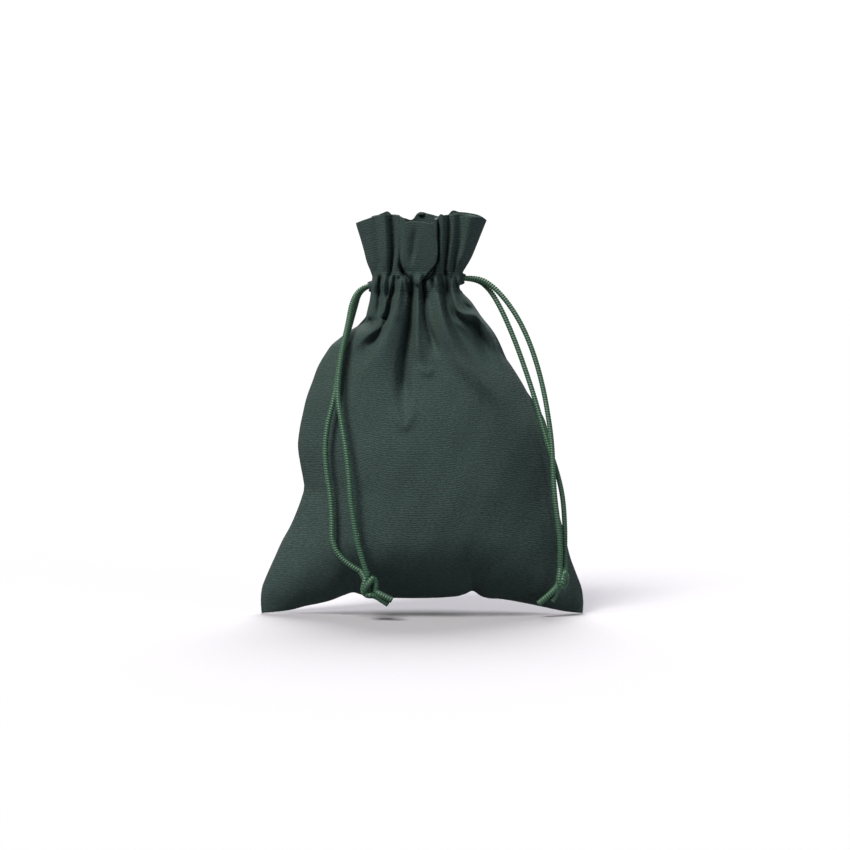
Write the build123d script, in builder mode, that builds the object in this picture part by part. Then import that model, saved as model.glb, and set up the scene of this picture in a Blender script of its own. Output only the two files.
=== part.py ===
from build123d import *
import os

# Fabric gift sack: a sewn cotton pouch with two satin drawcords, filled and standing on its
# two bottom corners. +Z is up and the front faces -Y. The origin is on the floor under the
# middle of the sack. Millimetres.

# ---- cloth of the sack ----
cloth = 0.8                 # wall of the sewn cloth
seam_top = 123.2            # top of the side seams, just under the drawcord channel
seam_allowance = 7.0        # width of the turned-in seam inside each side
seam_thickness = 1.0
seam_stitch_pitch = 3.0

# Each station is (height, left half-width, right half-width, front depth, back depth).
stations = [
    (0.0, 62.6, 62.4, 10.0, 17.0),
    (10.0, 62.2, 61.4, 17.0, 21.0),
    (22.0, 57.6, 57.0, 22.5, 25.0),
    (36.0, 50.6, 53.5, 26.2, 27.4),
    (50.0, 46.8, 50.5, 28.0, 28.2),
    (66.0, 48.2, 49.0, 27.6, 27.8),
    (82.0, 45.4, 43.5, 24.6, 25.0),
    (96.0, 40.2, 34.0, 20.0, 20.4),
    (106.0, 31.5, 29.5, 15.4, 15.8),
    (115.0, 22.8, 22.6, 11.8, 12.0),
    (seam_top, 20.0, 15.2, 10.1, 10.2),
]
shoulder_out = 0.62         # where the cloth turns from the face towards the side seam
shoulder_depth = 0.82

# The bottom fold is arched between the two corners, with a dent at each side.
arch = [(-46.0, 1.4), (-36.0, 4.6), (-27.0, 8.0), (-18.0, 6.2), (0.0, 5.6),
        (13.0, 6.4), (20.0, 8.4), (27.0, 5.8), (37.0, 3.9), (46.0, 1.4)]
arch_foot = 50.0

# ---- gathered neck ----
neck_x = -2.8               # the neck stands a little left of the middle
neck_length = 34.0          # across the closed neck
neck_depth = 20.0
neck_gap = 0.2              # half the slit between the front and back halves
channel_bottom = 123.5
channel_top = 131.5
channel_wall = 1.2
tunnel_width = 2.6
tunnel_bottom = 124.8
tunnel_top = 131.1
exit_height = 3.0

heading_bottom = 131.7
heading_top = 153.0
heading_x = -0.8            # centre of the flared rim
heading_length = 48.4
heading_depth = 25.0
heading_layer = 1.8
facing_inset = 2.5
facing_layer = 1.4
pleats = 7                  # pleats round each half of the heading
pleat_wave = 0.0875         # how far the pleats swing in and out, as a share of the depth

stitch_radius = 0.2
stitch_length = 2.0
stitches_per_row = 11
lower_stitch_height = 124.2
upper_stitch_height = 131.3

# ---- drawcords ----
cord = 2.0                  # diameter of the satin cord
left_cord_height = 126.6
right_cord_height = 129.4
strand_spacing = 1.2        # each strand's distance from the seam plane at an exit
turn_radius = neck_depth / 2 - channel_wall - tunnel_width / 2

hem_length = 2.2            # cloth edge turned round each cord exit
hem_width = 6.8
hem_height = 5.4
hem_hole_width = 5.4
hem_hole_height = 3.2
hem_gap = 0.3

knot_core = 1.9
knot_wrap = 1.1
knot_height = 8.2
left_knot_centre = (-20.6, -24.8, 14.2)
right_knot_centre = (53.1, -11.9, 14.4)

left_front_route = [
    (-20.6, -1.2, 126.6), (-24.2, -2.0, 125.9), (-27.4, -5.0, 120.6), (-28.8, -9.2, 112.0),
    (-30.9, -14.2, 103.2), (-32.2, -18.6, 94.0), (-32.6, -22.0, 85.0),
    (-31.0, -24.6, 75.6), (-29.3, -26.2, 66.0), (-28.1, -26.8, 56.0), (-27.5, -27.0, 46.0),
    (-25.9, -26.8, 36.0), (-24.4, -26.4, 27.6), (-21.5, -25.6, 18.6),
]
left_back_route = [
    (-20.6, 1.2, 126.6), (-24.4, 0.6, 125.2), (-26.4, -2.2, 117.8), (-28.6, -6.4, 109.6),
    (-31.0, -11.2, 101.4), (-32.6, -15.6, 92.8), (-33.8, -18.4, 84.2),
    (-36.2, -19.4, 75.4), (-37.4, -19.9, 66.4), (-36.8, -20.2, 56.8), (-35.2, -20.8, 47.6),
    (-34.6, -21.6, 38.4), (-34.8, -22.3, 29.4), (-30.2, -23.2, 22.2), (-23.8, -24.0, 19.0),
]
right_front_route = [
    (15.4, -1.2, 129.4), (20.6, -2.2, 130.0), (26.4, -3.4, 126.8), (31.6, -4.6, 121.2),
    (36.2, -5.8, 114.4), (40.0, -7.0, 106.6), (43.2, -8.2, 97.6), (45.8, -9.6, 87.6),
    (47.6, -12.0, 77.4), (49.0, -13.8, 66.8), (49.4, -14.8, 56.4), (50.0, -15.2, 46.4),
    (51.4, -15.2, 36.6), (52.4, -14.6, 27.4), (52.3, -13.2, 19.2),
]
right_back_route = [
    (15.4, 1.2, 129.4), (20.8, 0.9, 129.2), (25.6, -0.4, 125.0), (29.4, -1.8, 118.6),
    (32.8, -3.0, 111.2), (36.0, -4.2, 103.2), (39.2, -5.4, 94.2), (42.4, -7.6, 84.4),
    (45.2, -9.6, 74.6), (48.0, -10.9, 64.8), (51.0, -11.4, 56.0), (53.2, -11.0, 47.0),
    (54.0, -11.3, 37.6), (54.2, -11.4, 28.6), (54.0, -11.2, 19.2),
]
left_front_tail_route = [
    (-19.6, -25.6, 9.4), (-18.3, -25.9, 7.9), (-16.0, -26.2, 7.2), (-12.6, -26.6, 7.0),
]
left_back_tail_route = [
    (-21.0, -24.0, 9.7), (-20.6, -23.8, 8.0), (-18.0, -23.6, 6.2), (-13.8, -23.4, 5.4),
]
right_front_tail_route = [
    (52.4, -12.8, 9.4), (51.0, -13.1, 8.1), (48.6, -13.7, 7.0), (44.6, -14.8, 5.2),
]
right_back_tail_route = [
    (53.6, -11.1, 9.9), (53.3, -11.0, 8.4), (51.8, -11.1, 6.8), (49.6, -11.4, 5.4),
]

os.makedirs("parts", exist_ok=True)


def save(piece, name):
    """Label a finished piece and write its STEP file."""
    piece.part.label = name
    export_step(piece.part, f"parts/{name}.step")


# ---- the cloth body ----

def body_form(inset, floor):
    """Solid form of the filled sack, inset by a wall, closed above the arched bottom fold."""
    with BuildPart() as form:
        for height, left, right, front, back in stations:
            left_tip = (-(left - inset), 0)
            right_tip = (right - inset, 0)
            with BuildSketch(Plane.XY.offset(height)):
                with BuildLine():
                    Spline(*face_curve(left_tip, right_tip, -(front - inset)))
                    Spline(*face_curve(left_tip, right_tip, back - inset))
                make_face()
        loft()
        with BuildSketch(Plane.XZ):
            with BuildLine():
                feet = [(-arch_foot, floor - 1), (arch_foot, floor - 1)]
                points = [(x, z + floor) for x, z in arch]
                Spline(feet[0], *points, feet[1])
                Line(feet[1], feet[0])
            make_face()
        extrude(amount=neck_length, both=True, mode=Mode.SUBTRACT)
    return form.part


def face_curve(left_tip, right_tip, depth):
    """Five points of one face of the sack at one height, from seam to seam."""
    left, right = left_tip[0], right_tip[0]
    return [left_tip, (left * shoulder_out, depth * shoulder_depth),
            ((left + right) / 2, depth), (right * shoulder_out, depth * shoulder_depth),
            right_tip]


skin_form = body_form(0, 0)
fill_form = body_form(cloth, cloth)
with BuildPart() as hollow:
    add(fill_form)
    split(bisect_by=Plane.XY.offset(cloth), keep=Keep.TOP)

for name, side in (("front_panel", Keep.TOP), ("back_panel", Keep.BOTTOM)):
    with BuildPart() as panel:
        add(skin_form)
        add(hollow.part, mode=Mode.SUBTRACT)
        split(bisect_by=Plane.XZ, keep=side)
    save(panel, name)


def side_outline(column, sign, inset):
    """Points down one side of the sack, inset towards the middle."""
    return [(sign * (row[column] - inset), row[0]) for row in stations[1:]]


for name, column, sign in (("left", 1, -1), ("right", 2, 1)):
    # Seam allowance: both cloth edges turned inside and sewn together.
    with BuildPart() as seam:
        with BuildSketch(Plane.XZ):
            with BuildLine():
                outer = side_outline(column, sign, 0)
                inner = side_outline(column, sign, seam_allowance)
                Spline(*outer)
                Line(outer[-1], inner[-1])
                Spline(*inner)
                Line(inner[0], outer[0])
            make_face()
        extrude(amount=seam_thickness / 2, both=True)
        add(hollow.part, mode=Mode.INTERSECT)
    save(seam, f"{name}_side_seam")

    # A row of stitches down the allowance.
    with BuildLine() as seam_line:
        Spline(*[(x, 0, z) for x, z in side_outline(column, sign, seam_allowance / 2)])
    guide = seam_line.wires()[0]
    count = int(guide.length / seam_stitch_pitch)
    with BuildPart() as thread:
        for number in range(1, count - 1):
            point = guide @ (number / count)
            along = guide % (number / count)
            middle = point - Vector(0, seam_thickness / 2 + stitch_radius, 0)
            with BuildSketch(Plane(middle - along * (stitch_length / 2), z_dir=along)):
                Circle(stitch_radius)
            extrude(amount=stitch_length)
    save(thread, f"{name}_seam_stitches")

    # Turned cloth edge round the cord exit at the top of the side seam.
    end_x = neck_x + sign * (neck_length / 2 + hem_gap)
    height = left_cord_height if sign < 0 else right_cord_height
    exit_plane = Plane(origin=(end_x, 0, height), x_dir=(0, 1, 0), z_dir=(sign, 0, 0))
    with BuildPart() as hem:
        with BuildSketch(exit_plane):
            RectangleRounded(hem_width, hem_height, hem_height * 0.3)
            RectangleRounded(hem_hole_width, hem_hole_height, hem_hole_height * 0.45,
                             mode=Mode.SUBTRACT)
        extrude(amount=hem_length)
    save(hem, f"{name}_slot_hem")


# ---- the gathered neck, in two halves ----

def half_wall(outer_inset, inner_inset, bottom, top, sign):
    """Upright wall round one half of the neck, between two insets from its outer face."""
    with BuildPart() as wall:
        with BuildSketch(Plane(origin=(neck_x, 0, bottom))):
            SlotOverall(neck_length - 2 * outer_inset, neck_depth - 2 * outer_inset)
            SlotOverall(neck_length - 2 * inner_inset, neck_depth - 2 * inner_inset,
                        mode=Mode.SUBTRACT)
            with Locations((0, sign * (neck_depth / 2 + neck_gap))):
                Rectangle(2 * neck_length, neck_depth, mode=Mode.INTERSECT)
        extrude(amount=top - bottom)
    return wall.part


def pleated_edge(length, depth, sign):
    """Points round one half of the heading, in and out with the pleats."""
    points = []
    steps = 2 * pleats
    for step in range(steps + 1):
        turn = 180 * step / steps
        around = Vector(1, 0).rotate(Axis.Z, sign * turn)
        swing = 1 + pleat_wave * (-1) ** step if 0 < step < steps else 1
        points.append((around.X * length / 2, around.Y * depth / 2 * swing
                       + sign * neck_gap))
    return points


def heading_form(inset, sign, overlap=0.0):
    """Solid inside one pleated half of the flared heading."""
    with BuildPart() as form:
        for x, length, depth, height in (
            (neck_x, neck_length, neck_depth, heading_bottom - overlap),
            (heading_x, heading_length, heading_depth, heading_top + overlap),
        ):
            with BuildSketch(Plane(origin=(x, 0, height))):
                with BuildLine():
                    points = pleated_edge(length - 2 * inset, depth - 2 * inset, sign)
                    Spline(*points)
                    Line(points[-1], points[0])
                make_face()
        loft()
    return form.part


def stitch_row(height, sign):
    """A row of short stitches round one half of the channel."""
    reach = neck_depth / 2 + stitch_radius * 1.5
    flat = (neck_length - neck_depth) / 2
    route = [(neck_x - flat - reach, 0, height),
             (neck_x - flat - reach, sign * reach, height),
             (neck_x + flat + reach, sign * reach, height),
             (neck_x + flat + reach, 0, height)]
    with BuildLine() as row_line:
        FilletPolyline(*route, radius=reach * 0.98)
    guide = row_line.wires()[0]
    with BuildPart() as row:
        for number in range(1, stitches_per_row + 1):
            place = number / (stitches_per_row + 1)
            along = guide % place
            start = guide @ place - along * (stitch_length / 2)
            with BuildSketch(Plane(start, z_dir=along)):
                Circle(stitch_radius)
            extrude(amount=stitch_length)
    return row


def tube(name, route, radii=None):
    """Cord along straight runs joined by tangent arcs; says its length and its radii."""
    runs = [Vector(b) - Vector(a) for a, b in zip(route, route[1:])]
    if radii is None:
        radii = []
        for before, after in zip(runs, runs[1:]):
            half_turn = before.get_angle(after) / 2
            slope = Vector(1, 0).rotate(Axis.Z, half_turn)
            radii.append(0.45 * min(before.length, after.length) * slope.X / slope.Y)
    with BuildPart() as rope:
        with BuildLine() as path:
            FilletPolyline(*route, radius=radii)
        wire = path.wires()[0]
        with BuildSketch(Plane(wire @ 0, z_dir=wire % 0)) as section:
            Circle(cord / 2)
        sweep()
    ideal = wire.length * section.sketch.area
    print(f"{name}: length {wire.length:.1f}, volume ratio {rope.part.volume / ideal:.4f},",
          "radii", [round(radius, 1) for radius in radii])
    return rope


for name, sign in (("front", -1), ("back", 1)):
    # Channel: a folded tunnel that both cords run through, open at each end.
    with BuildPart() as channel:
        add(half_wall(0, 2 * channel_wall + tunnel_width, channel_bottom, channel_top, sign))
        add(half_wall(channel_wall, channel_wall + tunnel_width, tunnel_bottom, tunnel_top,
                      sign), mode=Mode.SUBTRACT)
        for end, height in ((-1, left_cord_height), (1, right_cord_height)):
            mouth = Plane(origin=(neck_x + end * neck_length / 2, 0, height),
                          x_dir=(0, 1, 0), z_dir=(-end, 0, 0))
            with BuildSketch(mouth):
                Rectangle(hem_hole_width + 1, exit_height)
            extrude(amount=channel_wall * 2.5, mode=Mode.SUBTRACT)
    save(channel, f"{name}_channel")

    # Heading: the outer layer of the ruffle above the channel.
    with BuildPart() as heading:
        add(heading_form(0, sign))
        add(heading_form(heading_layer, sign, overlap=1), mode=Mode.SUBTRACT)
    save(heading, f"{name}_heading")

    # Hem facing: the cloth turned down inside the heading.
    with BuildPart() as facing:
        add(heading_form(facing_inset, sign))
        add(heading_form(facing_inset + facing_layer, sign, overlap=1), mode=Mode.SUBTRACT)
    save(facing, f"{name}_hem_facing")

    save(stitch_row(lower_stitch_height, sign), f"{name}_lower_stitches")
    save(stitch_row(upper_stitch_height, sign), f"{name}_upper_stitches")

    # Each cord runs through the channel, from its own exit to its turn at the far end.
    middle_y = sign * turn_radius
    far = neck_length / 2 - channel_wall - tunnel_width / 2
    for cord_name, way, height in (("left", -1, left_cord_height),
                                   ("right", 1, right_cord_height)):
        route = [(neck_x - way * far, sign * neck_gap, height),
                 (neck_x - way * far, middle_y, height),
                 (neck_x + way * (far - turn_radius * 0.3), middle_y, height),
                 (neck_x + way * far, sign * strand_spacing, height),
                 (neck_x + way * (neck_length / 2 - 0.1), sign * strand_spacing, height)]
        run = tube(f"{cord_name}_cord_{name}_run", route,
                   radii=[turn_radius * 0.97, turn_radius * 0.98, cord])
        save(run, f"{cord_name}_cord_{name}_run")


# ---- hanging strands, knots and tails ----

for name, route in (("left_cord_front_strand", left_front_route),
                    ("left_cord_back_strand", left_back_route),
                    ("right_cord_front_strand", right_front_route),
                    ("right_cord_back_strand", right_back_route),
                    ("left_front_tail", left_front_tail_route),
                    ("left_back_tail", left_back_tail_route),
                    ("right_front_tail", right_front_tail_route),
                    ("right_back_tail", right_back_tail_route)):
    save(tube(name, route), name)

for name, centre in (("left_knot", left_knot_centre), ("right_knot", right_knot_centre)):
    # Overhand knot of both strands: three wraps drawn tight round a core.
    with BuildPart() as knot:
        with BuildSketch(Plane(origin=centre).offset(-knot_height / 2)):
            Circle(knot_core)
        extrude(amount=knot_height)
        for lift in (-2.0, 0.0, 2.0):
            with BuildSketch(Plane(origin=centre, z_dir=(0, -1, 0), x_dir=(1, 0, 0))):
                with Locations((knot_core - 0.2, lift)):
                    Circle(knot_wrap)
            revolve(axis=Axis(centre, (0, 0, 1)))
    save(knot, name)
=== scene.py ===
import bpy
import math
import numpy as np
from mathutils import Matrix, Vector


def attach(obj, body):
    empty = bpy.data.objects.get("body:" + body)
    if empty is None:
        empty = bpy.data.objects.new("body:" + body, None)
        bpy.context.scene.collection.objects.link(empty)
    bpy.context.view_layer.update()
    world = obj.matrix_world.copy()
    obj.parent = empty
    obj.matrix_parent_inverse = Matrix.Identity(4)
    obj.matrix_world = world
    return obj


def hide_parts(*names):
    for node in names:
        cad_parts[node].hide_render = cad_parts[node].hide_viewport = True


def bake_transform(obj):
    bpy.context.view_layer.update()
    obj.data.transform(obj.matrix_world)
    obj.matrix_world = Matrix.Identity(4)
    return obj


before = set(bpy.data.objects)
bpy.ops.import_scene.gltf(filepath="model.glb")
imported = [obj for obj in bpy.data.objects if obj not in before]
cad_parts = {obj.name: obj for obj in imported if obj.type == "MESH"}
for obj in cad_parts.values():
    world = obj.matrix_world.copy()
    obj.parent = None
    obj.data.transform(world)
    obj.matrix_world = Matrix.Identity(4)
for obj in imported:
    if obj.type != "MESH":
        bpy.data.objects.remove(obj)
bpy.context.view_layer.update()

# ---- Camera ----
# A long lens straight in front of the sack, a little above the middle of its height.
view_distance = 1.25
view_height_angle = math.radians(3.5)
view_width = 0.3275
view_target = Vector((0.0006, 0.0, 0.0730))
camera_data = bpy.data.cameras.new("camera")
camera_data.sensor_width = 36.0
camera_data.lens = camera_data.sensor_width * view_distance / view_width
camera = bpy.data.objects.new("camera", camera_data)
bpy.context.scene.collection.objects.link(camera)
camera.location = view_target + Vector((0.0, -math.cos(view_height_angle),
                                        math.sin(view_height_angle))) * view_distance
camera.rotation_euler = (view_target - camera.location).to_track_quat("-Z", "Y").to_euler()
bpy.context.scene.camera = camera
bpy.context.scene.view_settings.view_transform = "Standard"


# ---- Hanging drawcord strands ----
# Two satin-covered round cords. Each leaves the neck at its own side as two strands, which
# hang limp over the sack and meet again in a knot.
class Signal:
    """A shader socket that plain Python arithmetic works on."""

    def __init__(self, tree, socket):
        self.tree = tree
        self.socket = socket

    def _math(self, operation, *values):
        return self.node("ShaderNodeMath", {"operation": operation},
                         dict(enumerate(values)))

    def node(self, kind, settings=None, inputs=None, output=0):
        """Add a node: settings are its properties, inputs its sockets' values or links."""
        made = self.tree.nodes.new(kind)
        for key, value in (settings or {}).items():
            setattr(made, key, value)
        for key, value in (inputs or {}).items():
            if isinstance(value, Signal):
                self.tree.links.new(value.socket, made.inputs[key])
            else:
                made.inputs[key].default_value = value
        return Signal(self.tree, made.outputs[output])

    def __add__(self, other): return self._math("ADD", self, other)
    def __radd__(self, other): return self._math("ADD", other, self)
    def __sub__(self, other): return self._math("SUBTRACT", self, other)
    def __rsub__(self, other): return self._math("SUBTRACT", other, self)
    def __mul__(self, other): return self._math("MULTIPLY", self, other)
    def __rmul__(self, other): return self._math("MULTIPLY", other, self)
    def __truediv__(self, other): return self._math("DIVIDE", self, other)
    def sine(self): return self._math("SINE", self)
    def power(self, other): return self._math("POWER", self, other)

    def part(self, axis):
        """One of the three numbers of a vector."""
        return self.node("ShaderNodeSeparateXYZ", None, {0: self}, output=axis)

    def noise(self, scale, detail=2.0, rough=0.5, across=(1.0, 1.0, 1.0)):
        """Smooth noise from 0 to 1 on this vector, stretched by the factors in across."""
        place = self.node("ShaderNodeVectorMath", {"operation": "MULTIPLY"},
                          {0: self, 1: across})
        return self.node("ShaderNodeTexNoise", None,
                         {"Vector": place, "Scale": scale, "Detail": detail,
                          "Roughness": rough})

    def mix(self, low, high):
        """The colour low where this is 0 and high where it is 1."""
        return self.node("ShaderNodeMix", {"data_type": "RGBA"},
                         {0: self, 6: low, 7: high}, output=2)


def new_material(name):
    """An empty node material, its signal maker and its surface shader."""
    material = bpy.data.materials.new(name)
    material.use_nodes = True
    tree = material.node_tree
    shader = tree.nodes["Principled BSDF"]
    return material, Signal(tree, None), shader


def lay_uv(start):
    """The piece's own UV map, which holds millimetres on the surface."""
    return start.node("ShaderNodeUVMap", {"uv_map": "surface_mm"})


def feed(shader, socket, signal):
    shader.id_data.links.new(signal.socket, shader.inputs[socket])


def make_satin(name, dark, light):
    """Satin cord: fine threads wound round the core in close ribs, with a soft gloss."""
    material, start, shader = new_material(name)
    place = lay_uv(start)
    around = place.part(0)
    along = place.part(1)
    slub = place.noise(1.1, detail=3.0)
    winding = (along * full_turn / cord_rib_pitch + around * 1.0 + slub * 2.4).sine()
    crest = (winding * 0.5 + 0.5).power(0.8)
    fibre = place.noise(7.0, detail=2.0, across=(1.0, 0.35, 1.0))
    tone = crest * 0.75 + fibre * 0.4 + slub * 0.3 - 0.25
    feed(shader, "Base Color", tone.mix(dark, light))
    feed(shader, "Roughness", 0.55 - crest * 0.15)
    bump = start.node("ShaderNodeBump", None,
                      {"Strength": 0.7, "Distance": 0.00012, "Height": crest + fibre * 0.3})
    feed(shader, "Normal", bump)
    shader.inputs["Sheen Weight"].default_value = 0.4
    shader.inputs["Sheen Roughness"].default_value = 0.35
    shader.inputs["Sheen Tint"].default_value = (0.35, 0.75, 0.45, 1.0)
    shader.inputs["Specular IOR Level"].default_value = 0.5
    return material


full_turn = 6.283           # radians in one repeat of a weave or winding
cord_diameter = 0.0020
cord_rib_pitch = 0.95       # millimetres from one wound thread group to the next
satin = make_satin("satin_cord", (0.005, 0.025, 0.013, 1.0), (0.048, 0.142, 0.078, 1.0))


def cord_line(name, route):
    """A smooth NURBS curve with the route as its control points, and the points along it."""
    data = bpy.data.curves.new(name, "CURVE")
    data.dimensions = "3D"
    data.resolution_u = 24
    spline = data.splines.new("NURBS")
    spline.points.add(len(route) - 1)
    for point, place in zip(spline.points, route):
        point.co = (*place, 1.0)
    spline.order_u = 3
    spline.use_endpoint_u = True
    curve = bpy.data.objects.new(name, data)
    bpy.context.scene.collection.objects.link(curve)
    bpy.context.view_layer.update()
    mesh = bpy.data.meshes.new_from_object(curve)
    line = np.array([v.co for v in mesh.vertices], float)
    bpy.data.meshes.remove(mesh)
    bpy.data.objects.remove(curve)
    return line


def respaced(line, step):
    """Points along a line at even steps, both ends kept."""
    runs = np.linalg.norm(np.diff(line, axis=0), axis=1)
    reach = np.concatenate([[0.0], np.cumsum(runs)])
    count = max(2, int(round(reach[-1] / step)) + 1)
    at = np.linspace(0.0, reach[-1], count)
    return np.column_stack([np.interp(at, reach, line[:, axis]) for axis in range(3)])


def link_mesh(name, verts, faces, material):
    """A new mesh object in the scene, smooth shaded, with its material."""
    mesh = bpy.data.meshes.new(name)
    mesh.from_pydata([tuple(v) for v in verts], [], faces)
    mesh.materials.append(material)
    mesh.polygons.foreach_set("use_smooth", [True] * len(mesh.polygons))
    piece = bpy.data.objects.new(name, mesh)
    bpy.context.scene.collection.objects.link(piece)
    return piece


def write_uv(piece, values):
    """Store a per-vertex pair of millimetres as the piece's surface_mm UV map."""
    layer = piece.data.uv_layers.new(name="surface_mm")
    corner = np.zeros(len(piece.data.loops), np.int32)
    piece.data.loops.foreach_get("vertex_index", corner)
    layer.data.foreach_set("uv", np.asarray(values, np.float32)[corner].ravel())


def wound_tube(name, line, radius, sides=16, rib=0.11, material=None):
    """A cord mesh along a line, its surface raised by the winding of its threads."""
    count = len(line)
    tangent = np.gradient(line, axis=0)
    tangent /= np.linalg.norm(tangent, axis=1)[:, None]
    side = np.cross(tangent[0], (0.0, 1.0, 0.0))
    if np.linalg.norm(side) < 0.1:
        side = np.cross(tangent[0], (1.0, 0.0, 0.0))
    sides_list = []
    for heading in tangent:
        side = side - heading * side.dot(heading)
        side = side / np.linalg.norm(side)
        sides_list.append(side)
    across = np.array(sides_list)
    up = np.cross(tangent, across)
    run = np.concatenate([[0.0], np.cumsum(np.linalg.norm(np.diff(line, axis=0), axis=1))])
    turn = np.linspace(0.0, 2 * math.pi, sides, endpoint=False)
    phase = run[:, None] * 1000 * 2 * math.pi / cord_rib_pitch + turn[None, :]
    swell = radius * (1 + rib * (0.5 * np.sin(phase) - 0.2))
    ring = (across[:, None, :] * (np.cos(turn)[None, :] * swell)[..., None]
            + up[:, None, :] * (np.sin(turn)[None, :] * swell)[..., None])
    verts = (line[:, None, :] + ring).reshape(-1, 3)
    faces = []
    for row in range(count - 1):
        for column in range(sides):
            following = (column + 1) % sides
            faces.append((row * sides + column, row * sides + following,
                          (row + 1) * sides + following, (row + 1) * sides + column))
    # A cut end is slightly domed: one centre point closes the ring.
    ends = [line[0] - tangent[0] * radius * 0.15, line[-1] + tangent[-1] * radius * 0.15]
    verts = np.vstack([verts, ends])
    first, last = count * sides, count * sides + 1
    for column in range(sides):
        following = (column + 1) % sides
        faces.append((first, following, column))
        faces.append((last, (count - 1) * sides + column, (count - 1) * sides + following))
    piece = link_mesh(name, verts, faces, material)
    uv = np.zeros((len(verts), 2))
    uv[:count * sides, 0] = np.tile(turn, count)
    uv[:count * sides, 1] = np.repeat(run * 1000, sides)
    uv[first] = (0.0, 0.0)
    uv[last] = (0.0, run[-1] * 1000)
    write_uv(piece, uv)
    return piece


mm = 0.001
strand_routes = {
    "left_cord_front_strand": [
        (-20.6, -1.2, 126.6), (-24.2, -2.0, 125.9), (-27.4, -5.0, 120.6),
        (-28.8, -9.2, 112.0), (-30.9, -14.2, 103.2), (-32.2, -18.6, 94.0),
        (-32.6, -22.0, 85.0), (-31.0, -24.6, 75.6), (-29.3, -26.2, 66.0),
        (-28.1, -26.8, 56.0), (-27.5, -27.0, 46.0), (-25.9, -26.8, 36.0),
        (-24.4, -26.4, 27.6), (-21.5, -25.6, 18.6)],
    "left_cord_back_strand": [
        (-20.6, 1.2, 126.6), (-24.4, 0.6, 125.2), (-26.4, -2.2, 117.8),
        (-28.6, -6.4, 109.6), (-31.0, -11.2, 101.4), (-32.6, -15.6, 92.8),
        (-33.8, -18.4, 84.2), (-36.2, -19.4, 75.4), (-37.4, -19.9, 66.4),
        (-36.8, -20.2, 56.8), (-35.2, -20.8, 47.6), (-34.6, -21.6, 38.4),
        (-34.8, -22.3, 29.4), (-30.2, -23.2, 22.2), (-23.8, -24.0, 19.0)],
    "right_cord_front_strand": [
        (15.4, -1.2, 129.4), (20.6, -2.2, 130.0), (26.4, -3.4, 126.8),
        (31.6, -4.6, 121.2), (36.2, -5.8, 114.4), (40.0, -7.0, 106.6),
        (43.2, -8.2, 97.6), (45.8, -9.6, 87.6), (47.6, -12.0, 77.4),
        (49.0, -13.8, 66.8), (49.4, -14.8, 56.4), (50.0, -15.2, 46.4),
        (51.4, -15.2, 36.6), (52.4, -14.6, 27.4), (52.3, -13.2, 19.2)],
    "right_cord_back_strand": [
        (15.4, 1.2, 129.4), (20.8, 0.9, 129.2), (25.6, -0.4, 125.0),
        (29.4, -1.8, 118.6), (32.8, -3.0, 111.2), (36.0, -4.2, 103.2),
        (39.2, -5.4, 94.2), (42.4, -7.6, 84.4), (45.2, -9.6, 74.6),
        (48.0, -10.9, 64.8), (51.0, -11.4, 56.0), (53.2, -11.0, 47.0),
        (54.0, -11.3, 37.6), (54.2, -11.4, 28.6), (54.0, -11.2, 19.2)],
}
strands = {}
strand_lines = {}
for name, route in strand_routes.items():
    line = respaced(cord_line(name, [tuple(value * mm for value in place) for place in route]),
                    0.16 * mm)
    strand_lines[name] = line
    strands[name] = wound_tube(name + "_cord", line, cord_diameter / 2, material=satin)


# ---- Knots and tails ----
# Each pair of strands is tied in one overhand knot, pulled tight, and cut off a few
# millimetres below it, which leaves two short tails.
def knot_line(points, step):
    """A line with its ends as given, laid through listed points in millimetres."""
    return respaced(cord_line("knot", [tuple(v * mm for v in place) for place in points]),
                    step * mm)


knot_turns = {
    "left": [
        [(-21.5, -25.6, 18.6), (-21.2, -25.4, 16.8), (-20.6, -24.6, 14.4), (-20.6, -24.6, 12.0),
         (-21.6, -25.6, 10.2), (-22.5, -26.8, 11.6), (-21.7, -27.6, 13.5), (-20.2, -27.6, 15.4),
         (-19.2, -26.8, 16.7), (-18.3, -26.2, 15.3), (-18.0, -26.0, 13.3), (-18.3, -25.6, 11.5),
         (-16.4, -26.4, 10.4), (-14.2, -26.7, 9.4), (-11.9, -26.9, 8.3)],
        [(-23.8, -24.0, 19.0), (-22.6, -24.6, 17.2), (-21.9, -25.6, 15.7), (-22.5, -25.8, 13.8),
         (-22.8, -25.6, 12.0), (-21.9, -26.2, 10.3), (-20.2, -26.6, 10.0), (-18.8, -25.8, 10.0),
         (-16.8, -25.2, 8.9), (-13.3, -25.2, 6.6)]],
    "right": [
        [(52.3, -13.2, 19.2), (52.2, -13.6, 17.4), (51.9, -14.1, 15.4), (51.9, -14.3, 13.4),
         (52.7, -14.0, 11.8), (53.8, -13.0, 12.2), (54.5, -12.4, 13.8), (54.7, -12.8, 15.6),
         (53.9, -13.4, 17.1), (52.9, -12.2, 17.2), (52.3, -11.2, 15.2), (51.7, -11.6, 12.8),
         (50.7, -12.8, 11.2), (49.2, -13.8, 9.9), (47.4, -14.0, 8.2), (43.9, -14.4, 5.4)],
        [(54.0, -11.2, 19.2), (53.8, -12.4, 17.4), (53.3, -13.9, 15.6), (53.3, -14.4, 13.8),
         (52.6, -13.8, 12.2), (51.7, -13.0, 11.4), (51.2, -12.5, 10.4), (50.4, -12.6, 8.8),
         (49.1, -12.8, 6.2)]],
}
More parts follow.
